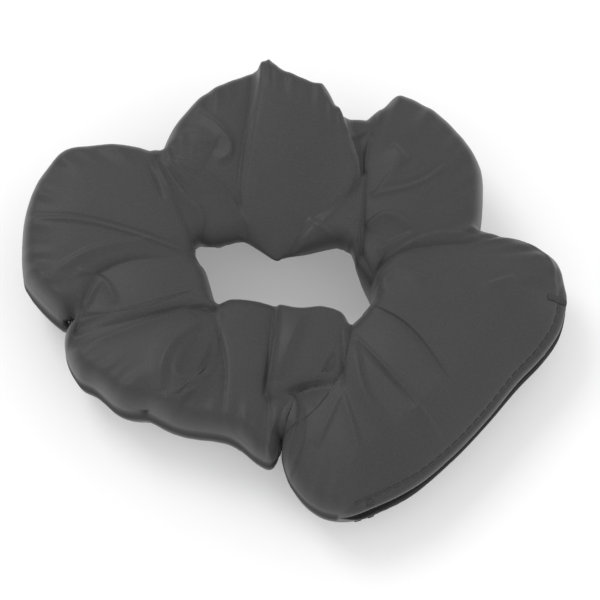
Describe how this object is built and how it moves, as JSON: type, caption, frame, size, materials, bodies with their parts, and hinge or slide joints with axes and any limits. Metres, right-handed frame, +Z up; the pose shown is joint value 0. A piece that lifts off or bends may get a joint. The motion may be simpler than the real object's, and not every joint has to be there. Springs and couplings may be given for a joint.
{
  "type": "zip pocket scrunchie",
  "caption": "Gathered stretch-cloth hair ring over a hidden elastic loop, with one large flat puff that closes as a small zip pocket.",
  "frame": {"origin": "centre of the footprint's bounding box, on the table", "axes": "+X towards the pocket puff, +Y towards the back puffs, +Z up through the hair opening"},
  "size_m": [0.1358, 0.1216, 0.038],
  "materials": {
    "sleeve_cloth": "satin",
    "elastic": "matte",
    "lining": "matte",
    "zip_tape": "matte",
    "zip_coil": "satin",
    "zip_stop": "satin",
    "zip_metal": "satin",
    "thread": "matte"
  },
  "bodies": {
    "pocket_side": {"puff_pocket": "sleeve_cloth", "elastic_band": "elastic", "elastic_join_stitch": "thread", "sleeve_seam_thread": "thread", "sleeve_closing_stitch": "thread", "pocket_lining": "lining", "zip_tape_upper": "zip_tape", "zip_tape_lower": "zip_tape", "zip_coil_upper": "zip_coil", "zip_coil_lower": "zip_coil", "zip_top_stop_upper": "zip_stop", "zip_top_stop_lower": "zip_stop", "zip_bottom_stop": "zip_stop", "topstitch_upper": "thread", "topstitch_lower": "thread", "bar_tack_closed_end": "thread", "bar_tack_open_end": "thread"},
    "back_right": {"puff_back_right": "sleeve_cloth"},
    "back_mid": {"puff_back_kite": "sleeve_cloth", "puff_back_left": "sleeve_cloth"},
    "far_side": {"puff_left": "sleeve_cloth"},
    "front_left": {"puff_front_left": "sleeve_cloth"},
    "front_mid": {"puff_front_mid": "sleeve_cloth"},
    "slider": {"zip_slider": "zip_metal"},
    "pull": {"zip_pull": "zip_metal"}
  },
  "joints": [
    {"name": "stretch", "type": "slide", "parent": "pocket_side", "child": "far_side", "axis": [-1, 0, 0], "range_m": [0, 0.05], "stiffness_N_per_m": 60, "deforming": ["elastic_band", "sleeve_seam_thread"]},
    {"name": "stretch_back_right", "type": "slide", "parent": "pocket_side", "child": "back_right", "axis": [-1, 0, 0], "range_m": [0, 0.006]},
    {"name": "stretch_back_mid", "type": "slide", "parent": "pocket_side", "child": "back_mid", "axis": [-1, 0, 0], "range_m": [0, 0.0325]},
    {"name": "stretch_front_left", "type": "slide", "parent": "pocket_side", "child": "front_left", "axis": [-1, 0, 0], "range_m": [0, 0.0475]},
    {"name": "stretch_front_mid", "type": "slide", "parent": "pocket_side", "child": "front_mid", "axis": [-1, 0, 0], "range_m": [0, 0.035]},
    {"name": "zip_slide", "type": "slide", "parent": "pocket_side", "child": "slider", "axis": [-0.6909, -0.723, 0], "range_m": [0, 0.044], "deforming": ["zip_coil_upper", "zip_coil_lower", "zip_tape_upper", "zip_tape_lower"]},
    {"name": "pull_swing", "type": "hinge", "parent": "slider", "child": "pull", "pos_m": [0.06171, -0.01425, 0.015], "axis": [0, 0, 1], "range_deg": [0, 150]}
  ],
  "couplings": [
    {"joint": "stretch_back_right", "follows": "stretch", "ratio": 0.1},
    {"joint": "stretch_back_mid", "follows": "stretch", "ratio": 0.65},
    {"joint": "stretch_front_left", "follows": "stretch", "ratio": 0.95},
    {"joint": "stretch_front_mid", "follows": "stretch", "ratio": 0.7}
  ]
}
